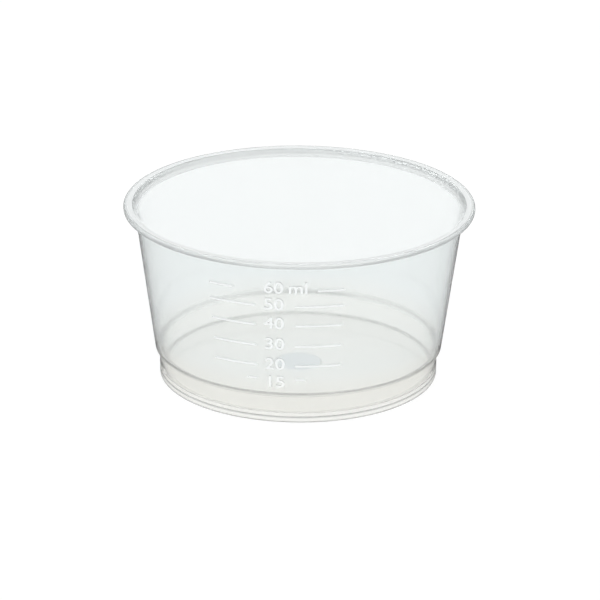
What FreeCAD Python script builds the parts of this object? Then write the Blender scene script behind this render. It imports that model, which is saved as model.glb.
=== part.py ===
import FreeCAD
import Part

import math
import os

from FreeCAD import Vector

# A gallipot: a small graduated medicine cup, moulded in one piece of clear polypropylene.
# Millimetres and degrees. It stands on z = 0, its axis is Z, and its scale is centred on -Y.

# The foot, a nearly straight ring under the cup that stands in the next cup of a stack
foot_diameter = 51.2
foot_height = 5.24
foot_draft = 1.0
foot_wall = 0.6
foot_edge_bevel = 0.12

# The floor, lifted off the table inside the foot
floor_lift = 1.0
floor_thickness = 0.65
floor_corner_round = 0.9

# The shallow well under the floor, where the plastic was let into the mould
gate_well_diameter = 8.7
gate_well_depth = 0.15
gate_well_draft = 45.0

# The wall, stepped out over the foot by a ledge outside and a stacking shelf inside
height = 32.8
wall_thickness = 0.5
wall_draft = 7.9
ledge_width = 0.75
shelf_edge_bevel = 0.15

# The rim, turned out level for the fingers and for a lid
rim_overhang = 2.05
rim_thickness = 0.95
rim_mouth_round = 1.1
rim_neck_bevel = 0.3
rim_edge_bevel = 0.2

# The scale: raised bars either side of a column that is left free for the numbers.
# Each mark gives its height above the inside floor, and the angles from the middle of the
# scale at which its bars start and end.
marks = {
    15: (7.25, 7.1, 11.2),
    20: (10.0, 7.1, 24.4),
    30: (14.0, 7.1, 24.4),
    40: (18.15, 7.1, 24.4),
    50: (22.05, 7.1, 24.4),
    60: (25.2, 14.8, 24.4),
}
mark_width = 0.42
mark_crest = 0.2
mark_relief = 0.15
mark_root = 0.1

# Heights that the sizes above settle
floor_top = floor_lift + floor_thickness
shelf_height = foot_height + wall_thickness
rim_underside = height - rim_thickness

# The wall's thickness measured level, across its slope
wall_across = wall_thickness / math.cos(math.radians(wall_draft))

# How a corner of the section is finished
SHARP = "sharp"
BEVEL = "bevel"
ROUND = "round"

ORIGIN = Vector(0, 0, 0)
UP = Vector(0, 0, 1)
SCALE_MIDDLE = -90.0


def foot_radius(z):
    """Outside radius of the foot at height z."""
    return foot_diameter / 2 + z * math.tan(math.radians(foot_draft))


def wall_radius(z):
    """Outside radius of the wall at height z, above the ledge."""
    above_ledge = z - foot_height
    return foot_radius(foot_height) + ledge_width + above_ledge * math.tan(math.radians(wall_draft))


def finished_corner(before, corner, after, finish, size):
    """The bevel or arc that cuts a corner: its first and last points, and its edge if it has one."""
    if finish == SHARP:
        return corner, corner, None
    back = before - corner
    ahead = after - corner
    half_angle = back.getAngle(ahead) / 2
    to_back = back * (1 / back.Length)
    to_ahead = ahead * (1 / ahead.Length)
    if finish == BEVEL:
        first = corner + to_back * size
        last = corner + to_ahead * size
        return first, last, Part.LineSegment(first, last).toShape()
    reach = size / math.tan(half_angle)
    first = corner + to_back * reach
    last = corner + to_ahead * reach
    inwards = to_back + to_ahead
    to_arc = size / math.sin(half_angle) - size
    middle = corner + inwards * (to_arc / inwards.Length)
    return first, last, Part.Arc(first, middle, last).toShape()


def outline(corners):
    """Closed wire in the XZ plane through corners given as (radius, height, finish, size)."""
    points = [Vector(radius, 0, z) for radius, z, finish, size in corners]
    finished = []
    for index, (radius, z, finish, size) in enumerate(corners):
        after = points[(index + 1) % len(points)]
        finished.append(finished_corner(points[index - 1], points[index], after, finish, size))
    edges = []
    for index, (first, last, edge) in enumerate(finished):
        if edge:
            edges.append(edge)
        following = finished[(index + 1) % len(finished)][0]
        edges.append(Part.LineSegment(last, following).toShape())
    return Part.Wire(edges)


def cup_section():
    """Half of the cup's section: out along the underside, up the outside, and back down the inside."""
    foot_bevel = min(foot_edge_bevel, 0.4 * foot_wall)
    rim_bevel = min(rim_edge_bevel, 0.4 * rim_thickness)
    rim_radius = wall_radius(rim_underside) + rim_overhang
    mouth_radius = wall_radius(height) - wall_across
    shelf_inside = foot_radius(shelf_height) - foot_wall
    shelf_outside = wall_radius(shelf_height) - wall_across
    shelf_bevel = min(shelf_edge_bevel, 0.4 * (shelf_outside - shelf_inside))
    underside = [
        (0, floor_lift, SHARP, 0),
        (foot_radius(floor_lift) - foot_wall, floor_lift, SHARP, 0),
    ]
    foot = [
        (foot_radius(0) - foot_wall, 0, BEVEL, foot_bevel),
        (foot_radius(0), 0, BEVEL, foot_bevel),
        (foot_radius(foot_height), foot_height, SHARP, 0),
    ]
    outside = [
        (wall_radius(foot_height), foot_height, SHARP, 0),
        (wall_radius(rim_underside), rim_underside, BEVEL, rim_neck_bevel),
    ]
    rim = [
        (rim_radius, rim_underside, BEVEL, rim_bevel),
        (rim_radius, height, BEVEL, rim_bevel),
        (mouth_radius, height, ROUND, rim_mouth_round),
    ]
    inside = [
        (shelf_outside, shelf_height, SHARP, 0),
        (shelf_inside, shelf_height, BEVEL, shelf_bevel),
        (foot_radius(floor_top) - foot_wall, floor_top, ROUND, floor_corner_round),
        (0, floor_top, SHARP, 0),
    ]
    return outline(underside + foot + outside + rim + inside)


def turned_cup():
    """The whole shell, turned from its section."""
    return Part.Face(cup_section()).revolve(ORIGIN, UP, 360)


def gate_well():
    """Low tapering plug that hollows the middle of the underside."""
    mouth_radius = gate_well_diameter / 2
    top_radius = mouth_radius - gate_well_depth * math.tan(math.radians(gate_well_draft))
    return Part.makeCone(mouth_radius, top_radius, gate_well_depth, Vector(0, 0, floor_lift))


def mark_section(z):
    """Section of a raised bar on the wall at height z: a tapering bar with its root in the wall."""
    low = z - mark_width / 2
    high = z + mark_width / 2
    crest_low = z - mark_crest / 2
    crest_high = z + mark_crest / 2
    return Part.makePolygon([
        Vector(wall_radius(low) - mark_root, 0, low),
        Vector(wall_radius(low), 0, low),
        Vector(wall_radius(crest_low) + mark_relief, 0, crest_low),
        Vector(wall_radius(crest_high) + mark_relief, 0, crest_high),
        Vector(wall_radius(high), 0, high),
        Vector(wall_radius(high) - mark_root, 0, high),
        Vector(wall_radius(low) - mark_root, 0, low),
    ])


def mark_bar(z, start, end):
    """One bar of a mark, round the wall from angle start to angle end."""
    section = Part.Face(mark_section(z))
    section.rotate(ORIGIN, UP, SCALE_MIDDLE + start)
    return section.revolve(ORIGIN, UP, end - start)


def scale():
    """The bars of every mark that lies between the shelf and the rim."""
    lowest = shelf_height + mark_width
    highest = rim_underside - rim_neck_bevel - mark_width
    bars = []
    for level, start, end in marks.values():
        z = floor_top + level
        if lowest < z < highest:
            bars.append(mark_bar(z, start, end))
            bars.append(mark_bar(z, -end, -start))
    return bars


def gallipot():
    """The cup with its gate well and its scale, as one solid."""
    return turned_cup().cut(gate_well()).fuse(scale()).removeSplitter()


os.makedirs("parts", exist_ok=True)
cup = gallipot()
cup.exportStep("parts/gallipot.step")
size = cup.optimalBoundingBox(False, False)
print("solids", len(cup.Solids), "mm3", round(cup.Volume, 1))
print("mm", round(size.XLength, 2), round(size.YLength, 2), round(size.ZLength, 2))
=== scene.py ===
import math

import bmesh
import bpy
from mathutils import Matrix, Vector


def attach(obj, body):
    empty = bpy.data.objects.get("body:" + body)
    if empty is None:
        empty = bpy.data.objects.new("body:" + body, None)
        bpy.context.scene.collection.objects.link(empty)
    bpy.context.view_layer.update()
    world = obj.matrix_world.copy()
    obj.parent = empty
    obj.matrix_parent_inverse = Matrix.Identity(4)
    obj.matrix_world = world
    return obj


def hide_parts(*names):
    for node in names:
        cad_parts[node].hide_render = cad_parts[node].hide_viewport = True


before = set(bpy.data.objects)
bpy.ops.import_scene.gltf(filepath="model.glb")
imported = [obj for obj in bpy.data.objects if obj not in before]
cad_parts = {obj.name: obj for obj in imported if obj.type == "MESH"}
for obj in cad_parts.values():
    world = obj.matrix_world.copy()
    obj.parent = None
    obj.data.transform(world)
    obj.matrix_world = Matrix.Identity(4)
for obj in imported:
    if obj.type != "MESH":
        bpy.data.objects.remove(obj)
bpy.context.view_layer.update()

# Sizes are in millimetres and angles in degrees, as on a drawing of the cup
MM = 0.001

# The foot and the floor
FOOT_DIAMETER = 51.2
FOOT_HEIGHT = 5.24
FOOT_DRAFT = 1.0
FOOT_WALL = 0.6
FOOT_EDGE_ROUND = 0.14
FLOOR_LIFT = 1.0
FLOOR_THICKNESS = 0.65
FLOOR_CORNER_ROUND = 0.2
UNDERSIDE_CORNER_ROUND = 0.2
GATE_WELL_DIAMETER = 8.7
GATE_WELL_DEPTH = 0.15
GATE_WELL_ROUND = 0.05

# The wall, its ledge outside and its stacking shelf inside
HEIGHT = 32.8
WALL_THICKNESS = 0.5
WALL_DRAFT = 7.9
LEDGE_WIDTH = 0.75
LEDGE_ROUND = 0.3
SHELF_ROUND = 0.45

# The rim
RIM_OVERHANG = 2.05
RIM_THICKNESS = 0.95
MOUTH_FLARE = 0.85
MOUTH_DEPTH = 1.1
MOUTH_EDGE_ROUND = 0.1
MOUTH_FOOT_ROUND = 1.0
RIM_NECK_ROUND = 0.8
RIM_EDGE_ROUND = 0.42

# The scale: each mark's height above the inside floor, and the angles from the middle of the
# scale at which its bars start and end
MARKS = {
    15: (7.25, 7.1, 11.2),
    20: (10.0, 7.1, 24.4),
    30: (14.0, 7.1, 24.4),
    40: (18.15, 7.1, 24.4),
    50: (22.05, 7.1, 24.4),
    60: (25.2, 14.8, 24.4),
}
BAR_WIDTH = 0.42

# The height above the inside floor of each number's middle, and the angles of the numbers and
# of the letters ml beside the 60
NUMBERS = {
    15: 6.86,
    20: 10.52,
    30: 14.61,
    40: 18.77,
    50: 22.59,
    60: 25.91,
}
NUMBER_ANGLE = -0.4
UNIT_ANGLE = 8.1
FIGURE_HEIGHT = 2.35
FIGURE_STRETCH = 1.14
FIGURE_ROUND = 0.05
FIGURE_SPREAD = 0.05
CAPITAL_SHARE = 0.729

# The bars and figures stand this far out of the wall, and are rooted this far in it
RELIEF = 0.22
RELIEF_ROOT = 0.1

# How far out from the mouth's edge, and in from the floor's edge, the plastic has its own finish
MILKY_MOUTH = 0.9
HAZY_FLOOR = 0.9

# The share of a bar's and of a figure's relief above which it is milky
MILKY_BAR_SHARE = 0.03
MILKY_FIGURE_SHARE = 0.5

# Half the column that is left free for the figures, in degrees, and where it is wider for the ml
NUMBER_COLUMN = 7
UNIT_COLUMN = 14

# These tell neighbouring faces of the cup apart, in mm
TOP_MARGIN = 0.02
LEDGE_MARGIN = 0.05
INNER_MARGIN = 0.1

# Typical index of refraction of polypropylene. The underside of the floor has 1, because with
# 1.49 it showed a black ring at the foot, where the real cup lets the table through
PLASTIC_IOR = 1.49
UNDERSIDE_IOR = 1.0

# Haze and roughness of the four finishes: clear walls; a matt underside; hazy at the rim, the step
# and the floor's edge, where the light meets more plastic; and milky on the raised scale and round
# the mouth, which catch the light
CLEAR_FINISH = (0.08, 0.06)
MATT_FINISH = (0.2, 0.1)
HAZY_FINISH = (0.4, 0.08)
MILKY_FINISH = (0.85, 0.12)

# Tints: blue-grey up the wall, yellower low down, cool and dull at the gate
WALL_COLOUR = "fbfefe"
FLOOR_COLOUR = "fdfdfa"
GATE_COLOUR = "f0f3f4"

# The floor's tint ends and the wall's begins at these shares of the height
FLOOR_TINT_TOP = 0.15
WALL_TINT_FOOT = 0.3

# How far inside and outside the gate well's edge its tint fades
GATE_FADE_IN = 0.35
GATE_FADE_OUT = 0.25

# Painted shade: edges that are seen through a length of plastic are darker, and that shade is
# painted into the colour. The share of the painted shade colour in each, and how far from the
# edge it fades out. The neck's lies just outside its corner
PAINTED_EDGE_SHADE = "6c7270"
NECK_SHADE = 0.4
NECK_REACH = 0.4
NECK_OUT = 0.3
NECK_DOWN = 0.1
LEDGE_SHADE = 0.2
LEDGE_REACH = 0.35
UNDERSIDE_SHADE = 0.95
UNDERSIDE_REACH = 0.5
FOOT_SHADE = 0.7
FOOT_REACH = 0.5

# Faint flow streaks in the surface, which break up its reflections a little. Where their pattern
# is low the surface is smoother, and where it is high duller, by these shares of the roughness
STREAK_WIDTH = 2.5
STREAK_STRETCH = 4.0
STREAK_DEPTH = 0.003
STREAK_DETAIL = 3.0
STREAK_ROUGHNESS = 0.55
STREAK_LOW = 0.3
STREAK_HIGH = 0.7
POLISHED_SHARE = 0.75
DULLED_SHARE = 1.3

# How finely round forms are divided
TURN_SEGMENTS = 256
ROUND_STEPS = 7
LONGEST_SPAN = 3.0
BAR_STEPS = 28
BAR_ROWS = 7
FIGURE_CURVE_STEPS = 5
FIGURE_ROUND_STEPS = 2

# Points nearer than this, in mm, are the same point, and edges sharper than this angle stay sharp
SAME_POINT = 0.0005
SHARP_EDGE = 32

floor_top = FLOOR_LIFT + FLOOR_THICKNESS
shelf_height = FOOT_HEIGHT + WALL_THICKNESS
rim_underside = HEIGHT - RIM_THICKNESS
wall_across = WALL_THICKNESS / math.cos(math.radians(WALL_DRAFT))


def foot_radius(z):
    """Outside radius of the foot at height z."""
    return FOOT_DIAMETER / 2 + z * math.tan(math.radians(FOOT_DRAFT))


def wall_radius(z):
    """Outside radius of the wall at height z, above the ledge."""
    above_ledge = z - FOOT_HEIGHT
    return foot_radius(FOOT_HEIGHT) + LEDGE_WIDTH + above_ledge * math.tan(math.radians(WALL_DRAFT))


def hex_colour(text):
    """Linear RGBA from an sRGB hex value."""
    channels = [int(text[i:i + 2], 16) / 255 for i in (0, 2, 4)]
    linear = [c / 12.92 if c <= 0.04045 else ((c + 0.055) / 1.055) ** 2.4 for c in channels]
    return (*linear, 1.0)


def add_node(tree, kind, settings=None, inputs=None):
    """Adds a node with its settings, and its inputs by name or number, each a socket or a value."""
    node = tree.nodes.new(kind)
    for name, value in (settings or {}).items():
        setattr(node, name, value)
    for key, value in (inputs or {}).items():
        for item in value if isinstance(value, list) else [value]:
            if isinstance(item, bpy.types.NodeSocket):
                tree.links.new(item, node.inputs[key])
            else:
                node.inputs[key].default_value = item
    return node


def maths_of(tree):
    """A function that adds a calculation to a tree and gives its result."""
    def maths(operation, *values):
        node = add_node(tree, "ShaderNodeMath", {"operation": operation}, dict(enumerate(values)))
        return node.outputs[0]
    return maths


# The camera stands where the photograph was taken from, a little to the right of the scale
VIEW_AZIMUTH = 8.3
VIEW_ELEVATION = 21.39
VIEW_DISTANCE = 738.7
VIEW_AIM_HEIGHT = 13.69
VIEW_AIM_ACROSS = 0.25
VIEW_ROLL = 0.43
VIEW_LENS = 240


def make_camera():
    """A long lens, aimed at the cup from the photograph's side and height."""
    elevation = math.radians(VIEW_ELEVATION)
    back = VIEW_DISTANCE * math.cos(elevation)
    rise = VIEW_DISTANCE * math.sin(elevation)
    place = Vector((0, -back, rise + VIEW_AIM_HEIGHT))
    aim = Vector((VIEW_AIM_ACROSS, 0, VIEW_AIM_HEIGHT))
    ahead = (aim - place).normalized()
    right = ahead.cross(Vector((0, 0, 1))).normalized()
    up = right.cross(ahead)
    level = Matrix((right, up, -ahead)).transposed()
    swing = Matrix.Rotation(math.radians(VIEW_AZIMUTH), 3, "Z")
    turn = swing @ level @ Matrix.Rotation(math.radians(VIEW_ROLL), 3, "Z")
    data = bpy.data.cameras.new("camera")
    data.lens = VIEW_LENS
    data.sensor_width = 36
    data.clip_start = 0.05
    data.clip_end = 20
    camera = bpy.data.objects.new("camera", data)
    camera.matrix_world = Matrix.Translation(swing @ place * MM) @ turn.to_4x4()
    bpy.context.collection.objects.link(camera)
    bpy.context.scene.camera = camera


def section_corners():
    """The cup's section: out along the underside, up the outside, over the rim and down inside.

    Each corner gives its radius, its height and its rounding.
    """
    shelf_inside = foot_radius(shelf_height) - FOOT_WALL
    shelf_outside = wall_radius(shelf_height) - wall_across
    rim_radius = wall_radius(rim_underside) + RIM_OVERHANG
    mouth_edge = wall_radius(HEIGHT) - wall_across + MOUTH_FLARE
    mouth_foot = HEIGHT - MOUTH_DEPTH
    floor_edge = foot_radius(floor_top) - FOOT_WALL
    gate_radius = GATE_WELL_DIAMETER / 2
    return [
        (0, FLOOR_LIFT + GATE_WELL_DEPTH, 0),
        (gate_radius - GATE_WELL_DEPTH, FLOOR_LIFT + GATE_WELL_DEPTH, GATE_WELL_ROUND),
        (gate_radius, FLOOR_LIFT, GATE_WELL_ROUND),
        (foot_radius(FLOOR_LIFT) - FOOT_WALL, FLOOR_LIFT, UNDERSIDE_CORNER_ROUND),
        (foot_radius(0) - FOOT_WALL, 0, FOOT_EDGE_ROUND),
        (foot_radius(0), 0, FOOT_EDGE_ROUND),
        (foot_radius(FOOT_HEIGHT), FOOT_HEIGHT, LEDGE_ROUND),
        (wall_radius(FOOT_HEIGHT), FOOT_HEIGHT, LEDGE_ROUND),
        (wall_radius(rim_underside), rim_underside, RIM_NECK_ROUND),
        (rim_radius, rim_underside, RIM_EDGE_ROUND),
        (rim_radius, HEIGHT, RIM_EDGE_ROUND),
        (mouth_edge + MILKY_MOUTH, HEIGHT, 0),
        (mouth_edge, HEIGHT, MOUTH_EDGE_ROUND),
        (wall_radius(mouth_foot) - wall_across, mouth_foot, MOUTH_FOOT_ROUND),
        (shelf_outside, shelf_height, SHELF_ROUND),
        (shelf_inside, shelf_height, SHELF_ROUND),
        (floor_edge, floor_top, FLOOR_CORNER_ROUND),
        (floor_edge - HAZY_FLOOR, floor_top, 0),
        (0, floor_top, 0),
    ]


def section_line():
    """The section as short edges in the XZ plane, with each corner's rounding as an attribute."""
    corners = section_corners()
    stops = [corners[0]]
    for start, end in zip(corners, corners[1:]):
        across, up = end[0] - start[0], end[1] - start[1]
        spans = math.ceil(math.hypot(across, up) / LONGEST_SPAN)
        for step in range(1, spans):
            share = step / spans
            stops.append((start[0] + across * share, start[1] + up * share, 0))
        stops.append(end)
    mesh = bpy.data.meshes.new("section")
    points = [(radius * MM, 0, z * MM) for radius, z, rounding in stops]
    mesh.from_pydata(points, [(i, i + 1) for i in range(len(points) - 1)], [])
    roundings = mesh.attributes.new("rounding", "FLOAT", "POINT")
    roundings.data.foreach_set("value", [rounding * MM for radius, z, rounding in stops])
    return mesh


def node_tree(name, inputs):
    """An empty geometry tree with named inputs, and its input and output nodes."""
    tree = bpy.data.node_groups.new(name, "GeometryNodeTree")
    tree.interface.new_socket("Geometry", in_out="INPUT", socket_type="NodeSocketGeometry")
    tree.interface.new_socket("Geometry", in_out="OUTPUT", socket_type="NodeSocketGeometry")
    for label, kind in inputs.items():
        tree.interface.new_socket(label, in_out="INPUT", socket_type=kind)
    return tree, tree.nodes.new("NodeGroupInput").outputs, tree.nodes.new("NodeGroupOutput")


def turning_tree():
    """Rounds the corners of a section line and turns it into a closed shell round Z."""
    tree, given, result = node_tree("turned shell", {
        "Segments": "NodeSocketInt",
        "Round Steps": "NodeSocketInt",
        "Material": "NodeSocketMaterial",
    })
    maths = maths_of(tree)
    line = add_node(tree, "GeometryNodeMeshToCurve", inputs={"Mesh": given["Geometry"]})
    rounding = add_node(tree, "GeometryNodeInputNamedAttribute", {"data_type": "FLOAT"}, {
        "Name": "rounding"})
    rounded = add_node(tree, "GeometryNodeFilletCurve", {"mode": "POLY"}, {
        "Curve": line.outputs[0],
        "Count": given["Round Steps"],
        "Radius": rounding.outputs[0],
        "Limit Radius": True,
    })
    points = add_node(tree, "GeometryNodeCurveToPoints", {"mode": "EVALUATED"}, {
        "Curve": rounded.outputs[0]}).outputs["Points"]
    count = add_node(tree, "GeometryNodeAttributeDomainSize", {"component": "POINTCLOUD"}, {
        "Geometry": points}).outputs["Point Count"]

    # A flat grid, one column of it for each turn of the section: each point finds its place on
    # the section and is then turned round Z
    grid = add_node(tree, "GeometryNodeMeshGrid", inputs={
        "Size X": 1.0,
        "Size Y": 1.0,
        "Vertices X": maths("ADD", given["Segments"], 1.0),
        "Vertices Y": count,
    })
    index = add_node(tree, "GeometryNodeInputIndex").outputs[0]
    along = maths("MODULO", index, count)
    column = maths("FLOOR", maths("DIVIDE", maths("ADD", index, 0.5), count))
    around = maths("DIVIDE", column, given["Segments"])
    place = add_node(tree, "GeometryNodeInputPosition").outputs[0]
    on_section = add_node(tree, "GeometryNodeSampleIndex", {"data_type": "FLOAT_VECTOR"}, {
        "Geometry": points, "Value": place, "Index": along})
    turned = add_node(tree, "ShaderNodeVectorRotate", {"rotation_type": "Z_AXIS"}, {
        "Vector": on_section.outputs[0], "Angle": maths("MULTIPLY", around, math.tau)})
    shell = add_node(tree, "GeometryNodeSetPosition", inputs={
        "Geometry": grid.outputs["Mesh"], "Position": turned.outputs[0]})
    closed = add_node(tree, "GeometryNodeMergeByDistance", inputs={
        "Geometry": shell.outputs[0], "Distance": SAME_POINT * MM})
    real = add_node(tree, "GeometryNodeRealizeInstances", inputs={"Geometry": closed.outputs[0]})
    dressed = add_node(tree, "GeometryNodeSetMaterial", inputs={
        "Geometry": real.outputs[0], "Material": given["Material"]})
    tree.links.new(dressed.outputs[0], result.inputs[0])
    return tree


def bar_points():
    """A point in the middle of each bar, with the scale laid out flat.

    Its numbers are the arc round the wall, the height, and 0.
    """
    points = []
    lengths = []
    for level, start, end in MARKS.values():
        z = floor_top + level
        middle = math.radians((start + end) / 2) * wall_radius(z)
        length = math.radians(end - start) * wall_radius(z)
        for side in (-1, 1):
            points.append((side * middle * MM, z * MM, 0))
            lengths.append(length * MM)
    mesh = bpy.data.meshes.new("bar_points")
    mesh.from_pydata(points, [], [])
    attribute = mesh.attributes.new("length", "FLOAT", "POINT")
    attribute.data.foreach_set("value", lengths)
    return mesh


def flat_figures():
    """The numbers and the letters ml, with rounded edges, laid out flat as the bars are."""
    labels = [(str(level), NUMBER_ANGLE, middle) for level, middle in NUMBERS.items()]
    labels.append(("ml", UNIT_ANGLE, NUMBERS[60]))
    joined = bmesh.new()
    for text, angle, middle in labels:
        z = floor_top + middle
        data = bpy.data.curves.new("figure", "FONT")
        data.body = text
        data.align_x = "CENTER"
        data.size = FIGURE_HEIGHT / CAPITAL_SHARE * MM
        data.resolution_u = FIGURE_CURVE_STEPS
        data.offset = -FIGURE_ROUND * MM + FIGURE_SPREAD * MM
        data.extrude = ((RELIEF + RELIEF_ROOT) / 2 - FIGURE_ROUND) * MM
        data.bevel_depth = FIGURE_ROUND * MM
        data.bevel_resolution = FIGURE_ROUND_STEPS
        mesh = plain_mesh(add_object("figure", data))
        across = math.radians(angle) * wall_radius(z)
        place = Vector((across, z - FIGURE_HEIGHT / 2, (RELIEF - RELIEF_ROOT) / 2))
        stretch = Matrix.Diagonal((FIGURE_STRETCH, 1, 1, 1))
        mesh.transform(Matrix.Translation(place * MM) @ stretch)
        joined.from_mesh(mesh)
    bmesh.ops.remove_doubles(joined, verts=joined.verts, dist=SAME_POINT * MM)
    flat = bpy.data.meshes.new("figures")
    joined.to_mesh(flat)
    return flat


def relief_tree():
    """Makes the bars and figures of the scale flat, and lays them round the sloping wall."""
    tree, given, result = node_tree("raised scale", {
        "Bar Width": "NodeSocketFloat",
        "Bar Steps": "NodeSocketInt",
        "Bar Rows": "NodeSocketInt",
        "Figures": "NodeSocketObject",
        "Relief": "NodeSocketFloat",
        "Root": "NodeSocketFloat",
        "Wall Foot Radius": "NodeSocketFloat",
        "Wall Slope": "NodeSocketFloat",
        "Material": "NodeSocketMaterial",
    })
    maths = maths_of(tree)

    def vector(x=0.0, y=0.0, z=0.0):
        return add_node(tree, "ShaderNodeCombineXYZ", inputs={"X": x, "Y": y, "Z": z}).outputs[0]

    def split(value):
        return add_node(tree, "ShaderNodeSeparateXYZ", inputs={0: value}).outputs

    place = add_node(tree, "GeometryNodeInputPosition").outputs[0]

    # One bar, a metre long so that its length is a scale: a half-round crest on a square root
    block = add_node(tree, "GeometryNodeMeshCube", inputs={
        "Size": vector(1.0, 1.0, 2.0),
        "Vertices X": given["Bar Steps"],
        "Vertices Y": given["Bar Rows"],
        "Vertices Z": 2,
    })
    x, y, z = split(place)
    on_top = maths("GREATER_THAN", z, 0.0)
    arc = maths("MULTIPLY", y, math.pi)
    crest_y = maths("MULTIPLY", maths("SINE", arc), maths("MULTIPLY", given["Bar Width"], 0.5))
    crest_z = maths("MULTIPLY", maths("COSINE", arc), given["Relief"])
    above_root = maths("MULTIPLY", on_top, maths("ADD", crest_z, given["Root"]))
    shaped_z = maths("SUBTRACT", above_root, given["Root"])
    bar = add_node(tree, "GeometryNodeSetPosition", inputs={
        "Geometry": block.outputs["Mesh"], "Position": vector(x, crest_y, shaped_z)}).outputs[0]
    length = add_node(tree, "GeometryNodeInputNamedAttribute", {"data_type": "FLOAT"}, {
        "Name": "length"})
    bars = add_node(tree, "GeometryNodeInstanceOnPoints", inputs={
        "Points": given["Geometry"], "Instance": bar, "Scale": vector(length.outputs[0], 1.0, 1.0)})
    flat_bars = add_node(tree, "GeometryNodeRealizeInstances", inputs={"Geometry": bars.outputs[0]})

    # The figures come in flat, already rounded
    figures = add_node(tree, "GeometryNodeObjectInfo", inputs={"Object": given["Figures"]})
    relief = add_node(tree, "GeometryNodeJoinGeometry", inputs={
        0: [flat_bars.outputs[0], figures.outputs["Geometry"]]}).outputs[0]

    # Round the wall: the first number runs round it, the second up it and the third out of it
    arc, height, out = split(place)
    radius = maths("MULTIPLY_ADD", height, given["Wall Slope"], given["Wall Foot Radius"])
    angle = maths("SUBTRACT", maths("DIVIDE", arc, radius), math.pi / 2)
    reach = maths("ADD", radius, out)
    on_wall = vector(maths("MULTIPLY", reach, maths("COSINE", angle)),
                     maths("MULTIPLY", reach, maths("SINE", angle)), height)
    wrapped = add_node(tree, "GeometryNodeSetPosition", inputs={
        "Geometry": relief, "Position": on_wall})
    real = add_node(tree, "GeometryNodeRealizeInstances", inputs={"Geometry": wrapped.outputs[0]})
    dressed = add_node(tree, "GeometryNodeSetMaterial", inputs={
        "Geometry": real.outputs[0], "Material": given["Material"]})
    tree.links.new(dressed.outputs[0], result.inputs[0])
    return tree


def plain_mesh(item):
    """The evaluated mesh of an object, which is then removed."""
    graph = bpy.context.evaluated_depsgraph_get()
    mesh = bpy.data.meshes.new_from_object(item.evaluated_get(graph))
    bpy.data.objects.remove(item)
    return mesh


def add_object(name, mesh):
    """A new object in the scene with this mesh or text."""
    item = bpy.data.objects.new(name, mesh)
    bpy.context.collection.objects.link(item)
    return item


def grown(name, source, tree, values):
    """The plain mesh that a geometry tree makes of a source mesh."""
    item = add_object(name, source)
    modifier = item.modifiers.new(tree.name, "NODES")
    modifier.node_group = tree
    for socket in tree.interface.items_tree:
        if socket.in_out == "INPUT" and socket.name in values:
            modifier[socket.identifier] = values[socket.name]
    return plain_mesh(item)


def add_ramp(tree, value, stops):
    """A colour ramp with stops as (position, colour)."""
    node = add_node(tree, "ShaderNodeValToRGB", inputs={"Fac": value})
    elements = node.color_ramp.elements
    elements.remove(elements[1])
    for index, (position, colour) in enumerate(stops):
        element = elements[0] if index == 0 else elements.new(position)
        element.position = position
        element.color = colour
    return node.outputs["Color"]


def edge_rings():
    """Edges that look dark because light runs far through the plastic there, darkened here by
    painted shade.

    Each gives its radius and height, how far its painted shade reaches, and the share of the
    painted shade.
    """
    neck = wall_radius(rim_underside) + NECK_OUT
    return [
        (neck, rim_underside - NECK_DOWN, NECK_REACH, NECK_SHADE),
        (wall_radius(FOOT_HEIGHT), FOOT_HEIGHT, LEDGE_REACH, LEDGE_SHADE),
        (foot_radius(FLOOR_LIFT) - FOOT_WALL, FLOOR_LIFT, UNDERSIDE_REACH, UNDERSIDE_SHADE),
        (foot_radius(0) - FOOT_WALL / 2, 0, FOOT_REACH, FOOT_SHADE),
    ]


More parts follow.
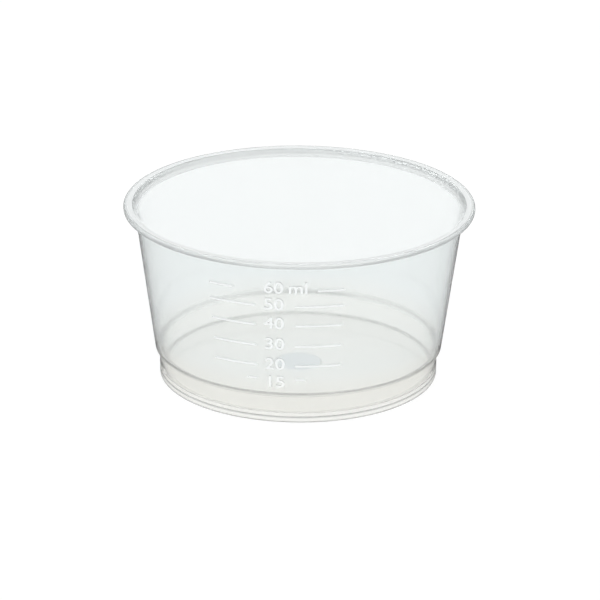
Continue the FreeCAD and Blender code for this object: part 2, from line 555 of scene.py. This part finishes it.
def moulded_polypropylene(name, finish, ior):
    """Natural polypropylene, injection moulded: clear in a thin wall, with the mould's polish.

    The haze is the share of the light that the plastic scatters: none looks like glass, all milk.
    """
    haze, roughness = finish
    material = bpy.data.materials.new(name)
    material.use_nodes = True
    tree = material.node_tree
    shader = tree.nodes["Principled BSDF"]
    shader.inputs["Transmission Weight"].default_value = 1 - haze
    shader.inputs["IOR"].default_value = ior
    place = add_node(tree, "ShaderNodeTexCoord").outputs["Object"]
    x, y, z = add_node(tree, "ShaderNodeSeparateXYZ", inputs={0: place}).outputs

    # Low down one looks through more plastic, so it is yellower there than up the wall
    level = add_node(tree, "ShaderNodeMapRange", inputs={
        "Value": z, "From Min": 0.0, "From Max": HEIGHT * MM})
    body = add_ramp(tree, level.outputs[0], [
        (0.0, hex_colour(FLOOR_COLOUR)),
        (FLOOR_TINT_TOP, hex_colour(FLOOR_COLOUR)),
        (WALL_TINT_FOOT, hex_colour(WALL_COLOUR)),
    ])

    # Over the gate well the floor looks cooler and duller
    flat = add_node(tree, "ShaderNodeCombineXYZ", inputs={"X": x, "Y": y, "Z": 0.0})
    radius = add_node(tree, "ShaderNodeVectorMath", {"operation": "LENGTH"}, {
        0: flat.outputs[0]}).outputs["Value"]
    in_gate = add_node(tree, "ShaderNodeMapRange", inputs={
        "Value": radius,
        "From Min": (GATE_WELL_DIAMETER / 2 - GATE_FADE_IN) * MM,
        "From Max": (GATE_WELL_DIAMETER / 2 + GATE_FADE_OUT) * MM,
        "To Min": 1.0,
        "To Max": 0.0,
    })
    colour = add_node(tree, "ShaderNodeMix", {"data_type": "RGBA"}, {
        "Factor": in_gate.outputs[0], 6: body, 7: hex_colour(GATE_COLOUR)}).outputs[2]

    # The section's plane: radius and height, in which each dark edge is a point
    section = add_node(tree, "ShaderNodeCombineXYZ", inputs={
        "X": radius, "Y": 0.0, "Z": z}).outputs[0]
    # Each ring paints shade into the colour: the painted shade colour is mixed in near its edge
    for ring_radius, height, reach, painted_shade in edge_rings():
        away = add_node(tree, "ShaderNodeVectorMath", {"operation": "DISTANCE"}, {
            0: section, 1: (ring_radius * MM, 0.0, height * MM)}).outputs["Value"]
        near = add_node(tree, "ShaderNodeMapRange", {"interpolation_type": "SMOOTHSTEP"}, {
            "Value": away,
            "From Min": 0.0,
            "From Max": reach * MM,
            "To Min": painted_shade,
            "To Max": 0.0,
        })
        colour = add_node(tree, "ShaderNodeMix", {"data_type": "RGBA"}, {
            "Factor": near.outputs[0], 6: colour, 7: hex_colour(PAINTED_EDGE_SHADE)}).outputs[2]
    tree.links.new(colour, shader.inputs["Base Color"])

    # The melt flowed from the gate up the wall, which left long faint streaks in the polish
    stretched = add_node(tree, "ShaderNodeMapping", {"vector_type": "POINT"}, {
        "Vector": place, "Scale": (1.0, 1.0, 1 / STREAK_STRETCH)})
    streaks = add_node(tree, "ShaderNodeTexNoise", inputs={
        "Vector": stretched.outputs[0],
        "Scale": 1 / (STREAK_WIDTH * MM),
        "Detail": STREAK_DETAIL,
        "Roughness": STREAK_ROUGHNESS,
    }).outputs[0]
    polish = add_node(tree, "ShaderNodeMapRange", inputs={
        "Value": streaks,
        "From Min": STREAK_LOW,
        "From Max": STREAK_HIGH,
        "To Min": roughness * POLISHED_SHARE,
        "To Max": roughness * DULLED_SHARE,
    })
    tree.links.new(polish.outputs[0], shader.inputs["Roughness"])
    waves = add_node(tree, "ShaderNodeBump", inputs={
        "Strength": 1.0, "Distance": STREAK_DEPTH * MM, "Height": streaks})
    tree.links.new(waves.outputs[0], shader.inputs["Normal"])
    return material


# The four finishes, in the order of the cup's material slots
CLEAR, MATT, HAZY, MILKY = range(4)


def finish_low_down(face, place):
    """The finish of a face below the ledge: matt under the floor, hazy round the floor's edge."""
    radius = place.xy.length
    if place.z < (FLOOR_LIFT + floor_top) / 2:
        under_floor = face.normal.z < -0.99 and place.z > FLOOR_LIFT / 2
        return MATT if under_floor else CLEAR
    hazy_from = foot_radius(floor_top) - FOOT_WALL - HAZY_FLOOR
    return HAZY if face.normal.z > 0.5 and radius > hazy_from else CLEAR


def finish_of(face):
    """The finish of a face of the cup, from where it is."""
    place = face.center / MM
    radius = place.xy.length
    inner_wall = wall_radius(place.z) - wall_across
    if place.z < FOOT_HEIGHT + LEDGE_MARGIN:
        return finish_low_down(face, place)
    if place.z < shelf_height + SHELF_ROUND and radius < inner_wall + INNER_MARGIN:
        return HAZY
    if place.z > rim_underside - RIM_NECK_ROUND:
        on_top = place.z > HEIGHT - TOP_MARGIN
        round_the_mouth = on_top and radius < inner_wall + MOUTH_FLARE + MILKY_MOUTH
        return MILKY if round_the_mouth else HAZY

    # What stands out of the wall is a bar outside the figures' column, and a figure inside it
    angle = abs(math.degrees(math.atan2(place.x, -place.y)))
    beside_unit = place.z > floor_top + NUMBERS[60] - FIGURE_HEIGHT / 2
    on_bar = angle > (UNIT_COLUMN if beside_unit else NUMBER_COLUMN)
    milky_from = RELIEF * (MILKY_BAR_SHARE if on_bar else MILKY_FIGURE_SHARE)
    return MILKY if radius - wall_radius(place.z) > milky_from else CLEAR


def make_cup():
    """The whole cup: the turned shell with the raised scale joined to it, in its four finishes."""
    plastic = moulded_polypropylene("moulded_clear_polypropylene", CLEAR_FINISH, PLASTIC_IOR)
    underside = moulded_polypropylene("matt_moulded_polypropylene", MATT_FINISH, UNDERSIDE_IOR)
    rim = moulded_polypropylene("hazy_moulded_polypropylene", HAZY_FINISH, PLASTIC_IOR)
    raised = moulded_polypropylene("milky_raised_polypropylene", MILKY_FINISH, PLASTIC_IOR)
    shell = grown("shell", section_line(), turning_tree(), {
        "Segments": TURN_SEGMENTS,
        "Round Steps": ROUND_STEPS,
        "Material": plastic,
    })
    figures = add_object("figures", flat_figures())
    relief = grown("relief", bar_points(), relief_tree(), {
        "Bar Width": BAR_WIDTH * MM,
        "Bar Steps": BAR_STEPS,
        "Bar Rows": BAR_ROWS,
        "Figures": figures,
        "Relief": RELIEF * MM,
        "Root": RELIEF_ROOT * MM,
        "Wall Foot Radius": wall_radius(0) * MM,
        "Wall Slope": math.tan(math.radians(WALL_DRAFT)),
        "Material": raised,
    })
    bpy.data.objects.remove(figures)
    scale = add_object("scale", relief)
    cup = add_object("shell", shell)
    union = cup.modifiers.new("union", "BOOLEAN")
    union.operation = "UNION"
    union.solver = "EXACT"
    union.use_self = True
    union.object = scale
    mesh = plain_mesh(cup)
    bpy.data.objects.remove(scale)
    mesh.materials.clear()
    for material in (plastic, underside, rim, raised):
        mesh.materials.append(material)
    for face in mesh.polygons:
        face.material_index = finish_of(face)
    mesh.shade_smooth()
    mesh.set_sharp_from_angle(angle=math.radians(SHARP_EDGE))
    cup = add_object("clear_cup", mesh)
    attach(cup, "root")
    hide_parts("gallipot")


WHITE = (1, 1, 1, 1)

# Half the table's side, in metres. It glows by itself, and its matt part keeps the cup's shadow
TABLE_HALF = 6.0
TABLE_GLOW = 0.93
TABLE_MATT = 0.1
TABLE_REFLECTED = 0.08

# The studio's light, and then by the sine of the height it is seen at: refracted and reflected
STUDIO_PLAIN = 1.0
STUDIO_THROUGH = [(0.0, 0.6), (0.2, 0.6), (0.35, 0.9), (0.6, 1.3), (0.9, 0.6)]
STUDIO_REFLECTED = [(0.0, 0.2), (0.12, 0.2), (0.36, 0.5), (0.6, 1.2), (1.0, 1.4)]


def seen_light(tree, plain, refracted, reflected):
    """A light's strength: plain for the camera and matt things, or through plastic, or mirrored."""
    path = add_node(tree, "ShaderNodeLightPath")
    reflection = add_node(tree, "ShaderNodeMath", {"operation": "GREATER_THAN"}, {
        0: path.outputs["Is Glossy Ray"], 1: path.outputs["Is Transmission Ray"]})
    through = add_node(tree, "ShaderNodeMix", {"data_type": "FLOAT"}, {
        "Factor": path.outputs["Is Transmission Ray"], "A": plain, "B": refracted})
    return add_node(tree, "ShaderNodeMix", {"data_type": "FLOAT"}, {
        "Factor": reflection.outputs[0], "A": through.outputs[0], "B": reflected}).outputs[0]


def make_floor():
    """A white table, lit from itself for the white background."""
    material = bpy.data.materials.new("white_table")
    material.use_nodes = True
    tree = material.node_tree
    tree.nodes.remove(tree.nodes["Principled BSDF"])
    strength = seen_light(tree, TABLE_GLOW, TABLE_GLOW, TABLE_REFLECTED)
    glow = add_node(tree, "ShaderNodeEmission", inputs={"Color": WHITE, "Strength": strength})
    matt = add_node(tree, "ShaderNodeBsdfDiffuse", inputs={
        "Color": (TABLE_MATT, TABLE_MATT, TABLE_MATT, 1)})
    both = add_node(tree, "ShaderNodeAddShader", inputs={0: glow.outputs[0], 1: matt.outputs[0]})
    tree.links.new(both.outputs[0], tree.nodes["Material Output"].inputs["Surface"])
    mesh = bpy.data.meshes.new("table")
    corners = [(x * TABLE_HALF, y * TABLE_HALF, 0) for x, y in ((-1, -1), (1, -1), (1, 1), (-1, 1))]
    mesh.from_pydata(corners, [], [(0, 1, 2, 3)])
    mesh.materials.append(material)
    add_object("table", mesh)


def make_light():
    """Soft studio light from all round, with no lamp."""
    world = bpy.data.worlds.new("studio")
    bpy.context.scene.world = world
    world.use_nodes = True
    tree = world.node_tree
    direction = add_node(tree, "ShaderNodeTexCoord").outputs["Generated"]
    rise = add_node(tree, "ShaderNodeSeparateXYZ", inputs={0: direction}).outputs["Z"]
    lights = []
    for stops in (STUDIO_THROUGH, STUDIO_REFLECTED):
        # A ramp's colours end at 1, so it holds half the light
        halved = [(position, (light / 2, light / 2, light / 2, 1)) for position, light in stops]
        lights.append(maths_of(tree)("MULTIPLY", add_ramp(tree, rise, halved), 2.0))
    background = tree.nodes["Background"]
    background.inputs["Color"].default_value = WHITE
    tree.links.new(seen_light(tree, STUDIO_PLAIN, *lights), background.inputs["Strength"])


make_camera()
make_cup()
make_floor()
make_light()
bpy.context.scene.view_settings.view_transform = "Standard"
